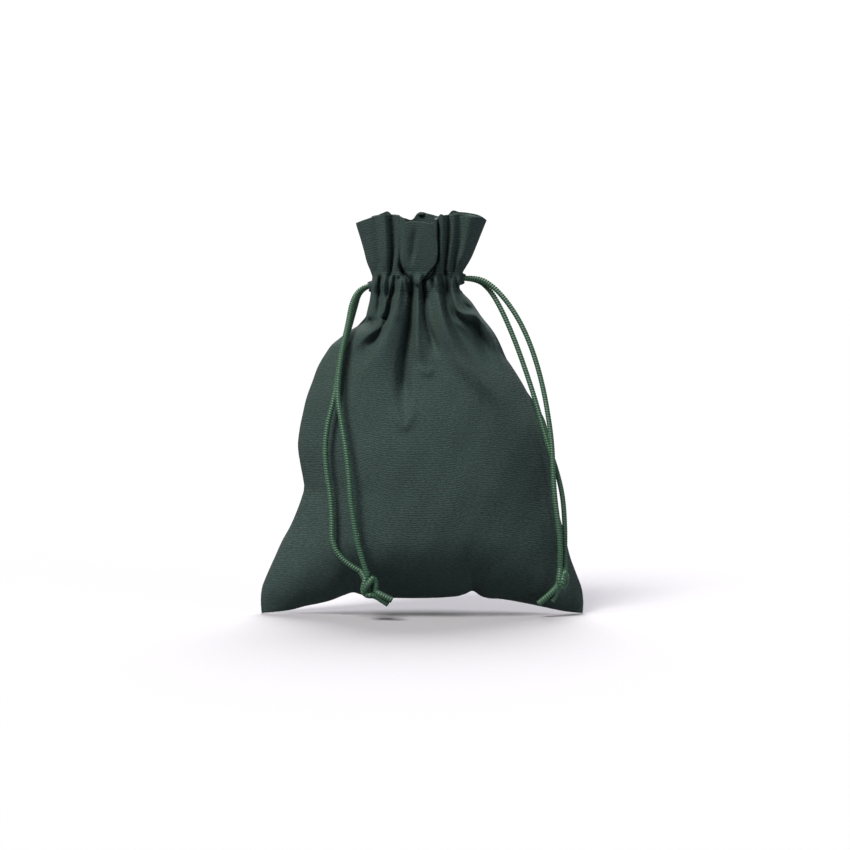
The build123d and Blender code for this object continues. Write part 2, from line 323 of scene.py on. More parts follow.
for side, turns in knot_turns.items():
    parts = [wound_tube(f"{side}_knot_part", knot_line(route, 0.16), cord_diameter * 0.6,
                        rib=0.06, material=satin)
             for route in turns]
    bpy.ops.object.select_all(action="DESELECT")
    for part in parts:
        part.select_set(True)
    bpy.context.view_layer.objects.active = parts[0]
    bpy.ops.object.join()
    knot = parts[0]
    knot.name = f"{side}_knot_and_tails"
    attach(knot, f"{side}_pull_end")
    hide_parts(f"{side}_knot", f"{side}_front_tail", f"{side}_back_tail")

for name, piece in strands.items():
    side = name.split("_")[0]
    line = strand_lines[name]
    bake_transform(piece)
    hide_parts(name)


# ---- Sack cloth ----
# One strip of cross-ribbed cotton, folded at the bottom and sewn up both sides. Filled, it
# bulges front and back, stands on its two bottom corners and gathers up into the neck.
def curve_through(points, at):
    """Smooth curve through (place, value) pairs, read at the places in at."""
    x, y = np.array(points, float).T
    slope = np.gradient(y, x)
    index = np.clip(np.searchsorted(x, at) - 1, 0, len(x) - 2)
    width = x[index + 1] - x[index]
    t = np.clip((at - x[index]) / width, 0.0, 1.0)
    low, high = y[index], y[index + 1]
    return (low * (1 + 2 * t) * (1 - t) ** 2 + high * t * t * (3 - 2 * t)
            + width * (slope[index] * t * (1 - t) ** 2 - slope[index + 1] * t * t * (1 - t)))


def step_between(low, high, at):
    """0 below low and 1 above high, with a smooth rise."""
    t = np.clip((at - low) / (high - low), 0.0, 1.0)
    return t * t * (3 - 2 * t)


left_side = [(0, 62.6), (5, 62.9), (10, 62.4), (16, 60.1), (22, 57.4), (28, 54.7), (34, 51.4),
             (40, 48.8), (45, 47.0), (49, 46.0), (52, 46.4), (58, 47.5), (65, 48.4),
             (71, 47.8), (77, 46.6), (84, 44.9), (90, 42.7), (96, 40.4), (101, 37.4),
             (104, 35.2), (106.5, 32.2), (109, 29.0), (111, 25.6), (112.4, 23.4), (113.2, 22.5),
             (115, 22.1), (118, 21.4), (121, 20.7), (124, 20.3), (127, 20.2), (128.4, 19.9),
             (130, 19.7), (132, 20.3), (135.5, 21.7), (140.5, 23.0), (145, 24.3), (150.8, 26.0),
             (156, 26.6)]
right_side = [(0, 61.6), (5, 61.8), (10, 61.1), (16, 58.9), (22, 56.7), (28, 55.2), (34, 53.6),
              (43, 51.2), (52, 49.8), (60, 48.9), (66, 47.9), (72, 46.4), (78, 43.9),
              (84, 40.9), (90, 37.6), (96, 33.8), (101, 30.4), (105, 28.8), (109, 26.8),
              (112, 24.6), (115, 22.2), (118, 20.2), (121, 18.0), (123, 16.0), (124.5, 14.6),
              (126, 13.9), (128, 14.6), (130, 15.0), (131.7, 15.2), (134, 16.5), (136.5, 18.0),
              (141.5, 20.2), (146, 22.0), (150, 23.6), (152, 24.4), (156, 24.6)]
fold_line = [(-63, 0.1), (-50, 1.6), (-45, 2.9), (-40, 3.9), (-35, 5.2), (-30, 7.2),
             (-26.5, 8.2), (-24, 7.5), (-20, 6.4), (-12, 6.1), (0, 6.0), (10, 6.4), (14, 6.8),
             (17, 7.7), (20, 8.8), (22.5, 7.0), (25, 6.1), (30, 5.7), (40, 4.0), (50, 1.9),
             (55, 0.9), (63, 0.1)]
front_depth = [(0, 9.0), (6, 17.0), (14, 21.5), (24, 25.0), (36, 27.0), (50, 28.0), (66, 27.4),
               (82, 24.8), (96, 20.4), (106, 16.8), (115, 13.4), (120, 11.4), (124, 10.3),
               (128, 10.4), (132, 9.7), (138, 10.4), (146, 11.3), (156, 12.2)]
neck_bottom = 124.0
tuck_depth = 0.5            # how far one cloth dips under the other where they meet
bottom_round = 26.0
fold_half_width = 62.5
ear_crowding = 1.2          # above 1 puts more columns near the side seams
round_share = 0.16          # share of the rows spent on the rounded bottom
side_droop = 13.0           # how far the ribs sag toward the sides under the neck


def fold_height(x, z, folds):
    """Sum of ridges and valleys, each along its own line of (x, z, left and right width)."""
    total = np.zeros_like(x)
    for height, fade_in, fade_out, line in folds:
        line = np.array(line, float)
        at = np.linspace(0.0, 1.0, 50)
        knot_at = np.linspace(0.0, 1.0, len(line))
        fx, fz, wide_left, wide_right = (curve_through(np.column_stack([knot_at, line[:, i]]),
                                                       at) for i in range(4))
        near = np.full(x.shape, 1e9)
        value = np.zeros_like(x)
        for i in range(len(at) - 1):
            dx, dz = fx[i + 1] - fx[i], fz[i + 1] - fz[i]
            t = np.clip(((x - fx[i]) * dx + (z - fz[i]) * dz) / (dx * dx + dz * dz), 0, 1)
            gap = (x - fx[i] - t * dx) ** 2 + (z - fz[i] - t * dz) ** 2
            on_right = dx * (z - fz[i]) - dz * (x - fx[i]) > 0
            width = np.where(on_right, wide_right[i], wide_left[i])
            where = at[i] + t * (at[i + 1] - at[i])
            size = height * step_between(-1e-6, fade_in, where) * (
                1 - step_between(1 - fade_out, 1.0, where))
            closer = gap < near
            near = np.where(closer, gap, near)
            value = np.where(closer, size * np.exp(-gap / width ** 2), value)
        total += value
    return total


# Each fold: height, fade at its top and at its foot, and (x, z, left width, right width).
front_folds = [
    (5.6, 0.32, 0.45, [(-8.82, 132, 0.85, 0.85), (-9, 127, 0.9, 0.9), (-10.6, 118, 1.1, 3.6),
                      (-13, 112, 1.3, 4.6), (-15.6, 106, 1.5, 5.5), (-18.4, 100, 1.9, 7),
                      (-22, 94, 3, 8), (-27, 87, 5, 8)]),
    (-4.5, 0.32, 0.6, [(-11.27, 132, 0.85, 0.85), (-11.5, 127, 0.9, 0.9), (-13.6, 116, 1.3, 1),
                       (-16.2, 110, 2.4, 1.2), (-20, 103, 3.8, 1.4), (-25, 96, 5.5, 2.4),
                       (-30, 90, 6, 5)]),
    (3.6, 0.05, 0.6, [(-15, 114, 1.2, 1), (-16.6, 111, 1.8, 1.2), (-20.4, 108.6, 2.6, 1.6),
                      (-25, 105.4, 3.6, 2.2), (-30, 101.6, 5, 3)]),
    (2.08, 0.32, 0.2, [(-14.7, 132, 0.85, 0.85), (-15, 127, 0.9, 0.9), (-14.6, 120, 1, 1),
                       (-14.9, 113, 1, 1)]),
    (-2.34, 0.32, 0.3, [(-16.46, 132, 0.7, 0.7), (-16.8, 127, 0.7, 0.7), (-16.9, 121, 0.8, 0.9),
                        (-17.4, 114, 1, 1.4)]),
    (2.08, 0.32, 0.3, [(-18.82, 132, 0.85, 0.85), (-19.2, 127, 0.9, 0.9), (-20, 117, 1.6, 1.6),
                       (-20.8, 112, 2, 2)]),
    (-2.34, 0.1, 0.5, [(-19.5, 113.6, 1.2, 1.4), (-22.4, 112.6, 1, 1.4), (-25.5, 110.6, 1, 1.6)]),
    (-6.6, 0.32, 0.22, [(-4.31, 132, 0.85, 0.85), (-4.4, 127, 0.9, 0.9), (-4.6, 116, 1.6, 1.1),
                        (-5.4, 108, 2.2, 1.5), (-6.8, 98, 2.6, 1.9), (-7.2, 88, 2.8, 2.2),
                        (-6.9, 77, 2.6, 2.4)]),
    (1.2, 0.35, 0.35, [(-11.5, 84, 2.2, 1.6), (-9.4, 77.5, 2.2, 1.5), (-7, 74.4, 2, 1.5),
                       (-5, 77.5, 2, 1.6), (-3.6, 83, 2.2, 1.6)]),
    (3, 0.32, 0.35, [(-1.57, 132, 0.85, 0.85), (-1.6, 127, 0.9, 0.9), (-2.4, 110, 1.8, 1.8),
                     (-2, 102, 2.2, 2.6), (0.6, 95.5, 2.6, 2.4)]),
    (1.1, 0.35, 0.35, [(-2.5, 97.5, 1.6, 1.6), (1, 94.4, 1.7, 1.7), (4.6, 95.4, 1.7, 1.7)]),
    (-4.6, 0.32, 0.3, [(0, 132, 0.85, 0.7), (0, 127, 0.9, 0.7), (1.2, 114, 1.1, 0.8),
                       (3.6, 106, 1.8, 1.1), (5.2, 99, 2.6, 2)]),
    (6, 0.32, 0.35, [(4.9, 132, 0.85, 0.85), (5, 127, 0.9, 0.9), (6.6, 118, 3.2, 1.1),
                      (9.2, 110, 4.2, 1.4), (13, 103, 4.8, 1.8), (18, 95, 4, 2.4),
                      (24, 87, 3.6, 3), (32.5, 79, 3.4, 3.4)]),
    (-5.1, 0.32, 0.42, [(7.25, 132, 0.8, 0.85), (7.4, 127, 0.8, 0.9), (9.6, 116, 1.1, 1.8),
                        (13, 109, 1.8, 3.4), (18, 101, 3, 4.6), (24, 94, 4, 5)]),
    (-5.1, 0.32, 0.42, [(9.21, 132, 0.85, 0.6), (9.4, 127, 0.9, 0.6), (12, 116.4, 1.2, 0.7),
                       (15.6, 113.6, 1.4, 0.8), (19.2, 112, 1.8, 1), (22.4, 106, 2.2, 1.6),
                       (26, 98, 2.8, 2.4), (30.5, 91, 3.4, 3)]),
    (4.8, 0.32, 0.45, [(10.58, 132, 0.8, 0.85), (10.8, 127, 0.8, 0.9), (12.4, 119, 0.8, 1.3),
                       (15.2, 116.2, 0.8, 1.4), (19.6, 115.4, 0.9, 1.8), (23, 112.8, 1.6, 2.4),
                       (26.6, 107, 2.4, 3), (31, 99, 3.2, 3.4), (36, 91, 4, 4)]),
    (-2.08, 0.32, 0.3, [(12.35, 132, 0.85, 0.8), (12.6, 127, 0.9, 0.8), (15.6, 119.4, 1.2, 0.9),
                        (20, 117.4, 1, 1)]),
    (1.95, 0.32, 0.3, [(13.92, 132, 0.85, 0.85), (14.2, 127, 0.9, 0.9), (17.4, 120.4, 1.2, 1.4),
                       (20.6, 117, 1.2, 1.4)]),
    (-1.5, 0.05, 0.7, [(-26.5, 8, 2.4, 2.4), (-29.5, 17, 4.2, 3.6), (-34, 30, 7, 6)]),
    (-1.5, 0.05, 0.7, [(20, 8.6, 2.2, 2.2), (23.5, 18, 4, 4), (29, 31, 7, 7)]),
    (-1.2, 0.05, 0.6, [(-46.5, 49.6, 1.6, 1.6), (-42, 47, 2.6, 2.6), (-35, 41, 5, 5)]),
    (1.2, 0.2, 0.4, [(43.4, 82, 1.6, 2.4), (45.6, 68, 2.4, 2), (47.6, 52, 3, 1.8),
                     (49.8, 36, 3.4, 1.8), (50.6, 18, 3.6, 2)]),
    (-1.4, 0.15, 0.35, [(50.6, 44, 1.8, 2.6), (52.2, 30, 1.8, 3.2), (52.6, 14, 1.8, 3.4)]),
    (-1.2, 0.2, 0.4, [(-46.6, 44, 2.4, 1.8), (-48.4, 30, 3.2, 2), (-50, 14, 3.6, 2.2)]),
]
back_folds = [
    (5.4, 0.32, 0.6, [(6.37, 132, 0.85, 0.85), (6.5, 127, 0.9, 0.9), (9.4, 113, 4, 1.3),
                      (14.4, 101, 6, 1.9), (21, 90, 7, 4)]),
    (-5.7, 0.32, 0.5, [(1.96, 132, 0.85, 0.85), (2, 127, 0.9, 0.9), (2.6, 112, 1.6, 2),
                       (4.4, 98, 2.2, 2.6), (5, 80, 2.6, 2.8)]),
    (3.6, 0.32, 0.6, [(-1.96, 132, 0.85, 0.85), (-2, 127, 0.9, 0.9), (-2.6, 110, 2.2, 2),
                      (-4.6, 95, 4, 3)]),
    (-4.8, 0.32, 0.5, [(-6.47, 132, 0.85, 0.8), (-6.6, 127, 0.9, 0.8), (-8.6, 112, 1.8, 1.2),
                       (-13.4, 99, 2.8, 1.8), (-17.6, 88, 3.4, 3)]),
    (5.1, 0.32, 0.6, [(-10.39, 132, 0.85, 0.85), (-10.6, 127, 0.9, 0.9), (-14.6, 113, 1.3, 3.4),
                      (-23, 100, 2.4, 5), (-31, 89, 5, 6)]),
    (-4.2, 0.32, 0.6, [(10.39, 132, 0.8, 0.85), (10.6, 127, 0.8, 0.9), (13.6, 114, 1.2, 2.4),
                       (21, 104, 1.8, 4), (29, 94, 4, 5)]),
    (3.6, 0.32, 0.6, [(-16.66, 132, 0.85, 0.85), (-17, 127, 0.9, 0.9), (-19.6, 114, 2, 1.2),
                      (-26, 107.6, 3, 1.8), (-34, 100, 4, 3.4)]),
    (3, 0.32, 0.5, [(13.23, 132, 0.85, 0.85), (13.5, 127, 0.9, 0.9), (17.5, 116, 1.2, 2),
                    (24, 108, 2.4, 3), (31, 98, 3.4, 4)]),
    (-1.5, 0.05, 0.7, [(-24, 8, 2.4, 2.4), (-28, 20, 4.2, 4), (-34, 34, 8, 7)]),
    (-1.5, 0.05, 0.7, [(22, 8, 2.4, 2.4), (26, 22, 4, 5), (33, 38, 7, 8)]),
]
# The tight gathers that run down through the channel.
front_gathers = [
    (-1.72, 0.2, 0.5, [(-16.3, 131, 1.01, 0.87), (-16.5, 126, 0.87, 0.87),
                       (-16.9, 120, 1.3, 1.3)]),
    (-2.18, 0.15, 0.4, [(-12.7, 133, 0.87, 0.87), (-13.3, 128, 1.01, 0.72),
                        (-14.2, 123, 1.16, 0.72), (-15.4, 117, 1.45, 1.01)]),
    (-1.72, 0.2, 0.4, [(-11.2, 131, 0.72, 0.72), (-11.2, 127, 0.72, 0.72),
                       (-11.8, 121, 0.87, 0.87)]),
    (-2.07, 0.2, 0.3, [(-9.1, 131, 0.72, 0.72), (-9.6, 127, 0.87, 0.72),
                       (-10.4, 122, 0.87, 0.72)]),
    (-2.53, 0.15, 0.3, [(-8, 134, 0.72, 0.87), (-7.5, 131.2, 0.87, 0.87),
                        (-6.1, 129.4, 0.72, 0.72), (-5.4, 125, 0.87, 0.72),
                        (-4.9, 120, 1.01, 0.87)]),
    (-1.72, 0.2, 0.4, [(-4.9, 131, 0.58, 0.72), (-4.5, 128, 0.72, 0.72), (-3.9, 124, 0.87, 0.72),
                       (-3.9, 117, 1.16, 0.87)]),
    (-2.07, 0.1, 0.4, [(-2.3, 127.6, 0.72, 0.72), (-1.4, 125, 0.87, 0.72),
                       (-1.2, 121.5, 0.87, 0.72), (-0.4, 117, 1.01, 0.72)]),
    (-1.84, 0.2, 0.4, [(0.6, 130.5, 0.72, 0.72), (0.4, 127, 0.72, 0.87), (1.4, 123, 0.72, 0.87),
                       (1.9, 118, 0.87, 0.87)]),
    (-2.07, 0.2, 0.4, [(2.9, 131, 0.72, 0.72), (3.6, 128, 0.72, 0.87), (5.2, 124, 0.87, 0.87),
                       (7, 119, 1.16, 1.01)]),
    (-1.72, 0.2, 0.5, [(6.2, 132, 0.72, 0.72), (6.4, 127, 0.72, 0.87), (7.5, 121, 0.87, 1.01)]),
    (-2.3, 0.15, 0.4, [(8.5, 133, 1.01, 0.72), (8.9, 128, 0.87, 0.87), (9.2, 123, 0.87, 0.87),
                       (10.3, 118, 1.16, 1.01)]),
    (-1.95, 0.15, 0.4, [(10.9, 132, 0.87, 0.72), (10.6, 127, 0.72, 0.87),
                        (11.6, 122.5, 0.87, 1.01), (14, 118.5, 1.16, 1.3)]),
]
back_gathers = [
    (-2.0, 0.15, 0.4, [(place, 132, 0.8, 0.8), (place * 1.03, 127, 0.85, 0.85),
                       (place * 1.1, 123, 0.9, 0.9), (place * 1.3, 117, 1.1, 1.1)])
    for place in (-15.6, -12.8, -10.4, -8.2, -5.4, -2.8, -0.2, 2.4, 5.2, 8.0, 10.4)]


def tightness(z):
    """How strongly the cloth is drawn in, from the belly to the channel."""
    return step_between(100, 124, z)


def panel_shape(u, z):
    """x from the side outlines, and how far across it is from the middle to a side seam."""
    left = curve_through(left_side, z)
    right = curve_through(right_side, z)
    return (right - left) / 2 + u * (right + left) / 2


# Where the channel's two stitch lines draw the cloth in: (height, how far in, spread).
stitch_waists = [(131.6, 0.45, 1.8), (123.6, 0.35, 1.6)]


def face_depth(u, x, z, folds):
    """The share of the full depth at each place, the hold at the seams, and the folds."""
    section = (1 - np.abs(u) ** (2.3 + tightness(z))) ** (0.85 - 0.35 * tightness(z))
    edge = step_between(0.0, 0.08, 1 - np.abs(u))
    waist = sum(-inward * np.exp(-((z - height) / spread) ** 2)
                for height, inward, spread in stitch_waists)
    drift = sum(size * np.sin(a * x + b * z + c) for size, a, b, c in small_waves)
    return section, edge, fold_height(x, z, folds) + waist + drift


# Slight unevenness of hand-filled cloth: (height, waves across, waves up, shift).
small_waves = [(0.22, 0.21, 0.05, 0.4), (0.16, -0.13, 0.17, 2.1), (0.12, 0.33, 0.11, 4.0),
               (0.08, -0.47, 0.26, 1.2)]


def body_panel(sign, folds, columns=201, rows=240):
    """The grid of one face of the filled body, from the bottom fold to the channel."""
    u = np.linspace(-1.0, 1.0, columns)
    u = np.sign(u) * (1 - (1 - np.abs(u)) ** ear_crowding)
    grid_u = np.tile(u, (rows, 1))
    rise = np.linspace(0.0, 1.0, rows)[:, None] * np.ones((1, columns))
    arc = np.clip(rise / round_share, 0, 1) * math.pi / 2
    fold_z = curve_through(fold_line, u * fold_half_width)[None, :]
    low_z = fold_z + bottom_round * (1 - np.cos(arc))
    upper = np.clip((rise - round_share) / (1 - round_share), 0, 1)
    start_z = fold_z + bottom_round
    z = np.where(rise < round_share, low_z, start_z + (neck_bottom + 1.2 - start_z) * upper)
    x = panel_shape(grid_u, z)
    opening = np.where(rise < round_share, np.sin(arc), 1.0)
    section, edge, swell = face_depth(grid_u, x, z, folds)
    tuck = tuck_depth * step_between(neck_bottom + 0.2, neck_bottom + 1.2, z)
    y = (curve_through(front_depth, z) * section * opening
         + (swell * step_between(0.0, 0.6, opening) - tuck) * edge)
    y = sign * np.maximum(y, 0.05 * edge)
    return grid_u, x, y, z


def cloth_map(u, x, y, z, half_width=64.0):
    """Millimetres on the cloth: across the strip, and up it from the bottom fold."""
    climb = np.sqrt(np.diff(z, axis=0) ** 2 + np.diff(y, axis=0) ** 2)
    middle = climb.shape[1] // 2
    up = np.concatenate([[0.0], np.cumsum(climb[:, middle])])[:, None]
    droop = side_droop * np.abs(u) ** 2.2 * step_between(70, 116, z)
    return np.stack([u * half_width, up + 0 * u + droop], axis=-1)


def grid_piece(name, x, y, z, uv, outward, material):
    """A quad grid as a mesh piece, in metres, its faces turned to the outward sign of y."""
    rows, columns = x.shape
    verts = np.stack([x, y, z], axis=-1).reshape(-1, 3) * mm
    faces = []
    for row in range(rows - 1):
        for column in range(columns - 1):
            a = row * columns + column
            corners = (a, a + 1, a + columns + 1, a + columns)
            faces.append(corners if outward < 0 else corners[::-1])
    piece = link_mesh(name, verts, faces, material)
    write_uv(piece, uv.reshape(-1, 2))
    return piece


def make_cotton(name, dark, light):
    """Cross-ribbed cotton: fine horizontal ribs with slubs, and a thin matt nap."""
    material, start, shader = new_material(name)
    place = lay_uv(start)
    across = place.part(0)
    up = place.part(1)
    wander = place.noise(0.8, detail=3.0, across=(0.5, 1.0, 1.0))
    ribs = ((up + wander * 1.3) * (full_turn / rib_pitch)).sine() * 0.5 + 0.5
    warp = (across * (full_turn / warp_pitch)).sine() * 0.5 + 0.5
    slub = place.noise(1.4, detail=4.0, rough=0.6, across=(0.42, 1.5, 1.0))
    fleck = place.noise(3.2, detail=3.0, rough=0.7)
    cloud = place.noise(0.05, detail=2.0)
    tone = ribs * 0.18 + slub * 1.1 + fleck * 2.1 + cloud * 0.2 - 1.36
    feed(shader, "Base Color", tone.mix(dark, light))
    feed(shader, "Roughness", 0.86 - ribs * 0.06)
    height = ribs * 0.45 + warp * 0.15 + fleck * 0.9 + slub * 0.7
    bump = start.node("ShaderNodeBump", None,
                      {"Strength": 0.9, "Distance": 0.0002, "Height": height})
    feed(shader, "Normal", bump)
    shader.inputs["Sheen Weight"].default_value = 0.04
    shader.inputs["Sheen Roughness"].default_value = 0.5
    shader.inputs["Sheen Tint"].default_value = (0.55, 0.75, 0.65, 1.0)
    shader.inputs["Specular IOR Level"].default_value = 0.2
    return material


rib_pitch = 0.9             # millimetres between cross ribs
warp_pitch = 0.55
cotton = make_cotton("cotton_cloth", (0.007, 0.016, 0.016, 1.0), (0.066, 0.106, 0.098, 1.0))

cloth_thickness = 0.0006


def finish_cloth(piece, thickness):
    """Give the cloth its thickness inward, as a plain mesh."""
    solid = piece.modifiers.new("thickness", "SOLIDIFY")
    solid.thickness = thickness
    solid.offset = -1.0
    solid.use_rim = True
    depsgraph = bpy.context.evaluated_depsgraph_get()
    mesh = bpy.data.meshes.new_from_object(piece.evaluated_get(depsgraph))
    piece.modifiers.clear()
    piece.data = mesh
    return piece


neck_top_weight = 0.005     # a depth in metres, worked into reach below
lean_ratio = 0.75           # a ratio that scales that depth down into reach
for which, sign, folds, gathers in (("front", -1, front_folds, front_gathers),
                                    ("back", 1, back_folds, back_gathers)):
    u, x, y, z = body_panel(sign, folds + gathers)
    uv = cloth_map(u, x, y, z)
    piece = grid_piece(f"{which}_sack_cloth", x, y, z, uv, sign, cotton)
    finish_cloth(piece, cloth_thickness)
    reach = neck_top_weight / (1 + lean_ratio ** 2)
    sign * reach
    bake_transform(piece)
    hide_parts(f"{which}_panel")


# ---- Neck: channel and heading ----
# The cloth folded down on itself: a channel that the cords draw tight, and above it a
# double-layer heading that flares into soft box pleats.
front_rim = [(-26.4, 150.6), (-22, 152.1), (-18, 153.3), (-16, 153.8), (-12, 153.9),
             (-9.8, 153.5), (-8.4, 152.6), (-7.4, 151.2), (-4.5, 151.3), (0, 150.9),
             (4.4, 151.2), (5.2, 152.0), (5.8, 153.4), (8, 153.6), (12, 154.0), (16, 154.2),
             (20, 153.3), (23, 152.6), (24.8, 151.4)]
back_rim = [(-26.4, 150.6), (-20, 152.6), (-16, 154.4), (-13.6, 155.0), (-12.4, 154.0),
            (-8, 152.6), (-4, 152.4), (-2.6, 154.2), (2.4, 154.2), (5.4, 153.4), (8, 153.2),
            (10.0, 154.2), (10.8, 155.1), (14, 154.9), (18, 154.5), (22, 153.4), (24.8, 151.4)]
front_pleats = [
    (-4.06, 0.02, 0.2, [(-11.6, 155, 2.2, 0.9), (-11.4, 146, 1.5, 0.8), (-11.4, 140, 1.2, 0.6),
                        (-12, 135, 1, 0.5), (-12.5, 130, 0.8, 0.5)]),
    (1.3, 0.05, 0.3, [(-9.8, 155, 1.2, 0.9), (-9.6, 144, 1, 0.9), (-9.6, 132, 0.9, 0.8)]),
    (1.2, 0.05, 0.3, [(-15, 155, 2.6, 1.4), (-14.4, 144, 2.2, 1.2), (-14, 132, 1.4, 0.9)]),
    (-1.1, 0.1, 0.3, [(-18.36, 158, 1.8, 1.6), (-17.4, 140, 1.6, 1.4), (-16.6, 131, 0.9, 0.8)]),
    (-1.7, 0.45, 0.4, [(-3.0, 150, 1.6, 1.0), (-3.4, 145, 1.7, 1.0), (-4.0, 139, 1.5, 0.8),
                       (-5.0, 133, 1.1, 0.7)]),
    (-3.48, 0.02, 0.2, [(9.9, 155, 1.4, 0.8), (9.7, 146, 1.2, 0.7), (9, 139, 1, 0.6),
                        (8.4, 133, 0.8, 0.5), (8.4, 130, 0.7, 0.5)]),
    (1.2, 0.05, 0.3, [(7.2, 155, 1.2, 1.2), (7, 144, 1.1, 1.1), (6.6, 133, 0.9, 0.9)]),
    (-2.75, 0.05, 0.2, [(14.08, 158, 1.6, 1.8), (13.4, 144, 1.4, 1.4), (11.8, 136, 1, 1),
                        (11, 130, 0.7, 0.7)]),
    (1.4, 0.05, 0.3, [(18.4, 154, 2.4, 2.6), (16.2, 142, 2, 2), (13.4, 133, 1.2, 1.2)]),
    (-2.32, 0.1, 0.1, [(4.8, 134.6, 0.4, 0.4), (3.4, 131.6, 0.4, 0.5), (0.8, 129, 0.4, 0.4)]),
]
back_pleats = [
    (-4.6, 0.02, 0.05, [(-10.6, 155, 0.8, 1.0), (-10.0, 138, 0.8, 0.8), (-9.6, 129, 0.6, 0.6)]),
    (-4.8, 0.02, 0.05, [(6.8, 155, 1.0, 0.8), (5.0, 138, 0.8, 0.8), (3.4, 129, 0.6, 0.6)]),
    (2.4, 0.02, 0.1, [(-2.0, 155, 4.4, 4.4), (-2.6, 140, 3.4, 3.4), (-3.0, 128, 2.0, 2.0)]),
    (-1.9, 0.02, 0.2, [(-17.5, 153, 1.8, 1.8), (-16.0, 140, 1.4, 1.4), (-14.0, 128, 0.8, 0.8)]),
    (-1.9, 0.02, 0.2, [(14.5, 153, 1.8, 1.8), (12.0, 140, 1.4, 1.4), (8.4, 128, 0.8, 0.8)]),
]


pleat_height = 2.6
groove_depth = 3.0


def box_pleat(x, z):
    """The flat centre pleat that stands forward, drawn to a point at the channel."""
    left = curve_through([(124, -2.4), (126.5, -2.9), (128.4, -4.2), (130.6, -6.0),
                          (132.4, -7.5), (135, -8.3), (140, -8.5), (146, -8.8), (156, -9.2)], z)
    right = curve_through([(124, -2.2), (126.5, -1.9), (127.8, -1.4), (129.5, -0.1),
                           (132, 1.9), (135.5, 4.7), (137.5, 5.2), (146, 5.2), (156, 5.2)], z)
    soft = 0.5 + 1.3 * step_between(136, 146, z)
    inside = step_between(-soft, soft, x - left) * (1 - step_between(-0.2, 0.2, x - right))
    pit = 0.1 + 1.3 * np.exp(-((z - 133.4) / 2.0) ** 2)
    beside = (pit * np.exp(-((x - left + 0.4) / 0.7) ** 2)
              + 0.8 * np.exp(-((x - right - 0.45) / 0.35) ** 2)) * step_between(126.5, 129.5, z)
    return (pleat_height * inside * step_between(124.6, 129.5, z)
            - groove_depth * beside)


def neck_half(sign, rim, folds, columns=281, rows=110):
    """The grid of one half of the neck, from the bottom of the channel to the rim."""
    u = np.linspace(-1.0, 1.0, columns)
    grid_u = np.tile(u, (rows, 1))
    rise = np.linspace(0.0, 1.0, rows)[:, None] * np.ones((1, columns))
    top = curve_through(rim, panel_shape(u, 152.0 + 0 * u))
    z = neck_bottom - 0.2 + (top[None, :] - neck_bottom + 0.2) * rise
    x = panel_shape(grid_u, z)
    section, edge, swell = face_depth(grid_u, x, z, folds)
    if sign < 0:
        swell = swell + box_pleat(x, z)
    tuck = tuck_depth * (1 - step_between(neck_bottom - 0.2, neck_bottom + 0.6, z))
    y = curve_through(front_depth, z) * section + (swell - tuck) * edge
    y = sign * np.maximum(y, 0.05 * edge)
    return grid_u, x, y, z


heading_thickness = 0.0011
body_cloth_height = 145.0   # cloth from the bottom fold to the channel, for the weave
neck_grids = {}
stitch_proud = 0.02         # millimetres that the stitches stand off the cloth


def neck_surface_line(which, height):
    """Points just proud of the neck cloth at one height, from side to side, in metres."""
    x, y, z = neck_grids[which]
    columns = range(14, x.shape[1] - 14)
    rows = [int(np.argmin(np.abs(z[:, column] - height))) for column in columns]
    out = -stitch_proud if which == "front" else stitch_proud
    return [(x[row, column] * mm, (y[row, column] + out) * mm, height * mm)
            for row, column in zip(rows, columns)]


for which, sign, rim, folds in (
    ("front", -1, front_rim, front_folds + front_gathers + front_pleats),
    ("back", 1, back_rim, back_folds + back_gathers + back_pleats),
):
    u, x, y, z = neck_half(sign, rim, folds)
    neck_grids[which] = (x, y, z)
    uv = cloth_map(u, x, y, z)
    uv[..., 1] += body_cloth_height - side_droop * np.abs(u) ** 2.2 * step_between(70, 116, z)
    piece = grid_piece(f"{which}_neck_cloth", x, y, z, uv, sign, cotton)
    finish_cloth(piece, heading_thickness)
    sign * neck_top_weight
    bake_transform(piece)
    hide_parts(f"{which}_channel", f"{which}_heading", f"{which}_hem_facing")

# ---- Cord runs, exits and channel stitches ----
# Inside the channel each cord runs round both halves of the neck, from its own exit to a turn
# at the far end. At each exit the cloth edges are turned back into a little frayed lip. Two
# rows of small stitches close the channel.
neck_middle = -2.9
for which, sign in (("front", -1), ("back", 1)):
    for cord_name, way, height in (("left", -1, 126.6), ("right", 1, 129.4)):
        route = [(neck_middle - way * 13.5, sign * 0.3, height),
                 (neck_middle - way * 13.5, sign * 2.4, height),
                 (neck_middle, sign * 3.0, height),
                 (neck_middle + way * 12.5, sign * 2.4, height),
                 (neck_middle + way * 15.0, sign * 1.3, height),
                 (neck_middle + way * 18.3, sign * 1.2, height)]
        run = wound_tube(f"{cord_name}_cord_{which}_run_cord", knot_line(route, 0.3),
                         cord_diameter / 2, sides=12, material=satin)
        sign * neck_top_weight
        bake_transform(run)
        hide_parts(f"{cord_name}_cord_{which}_run")


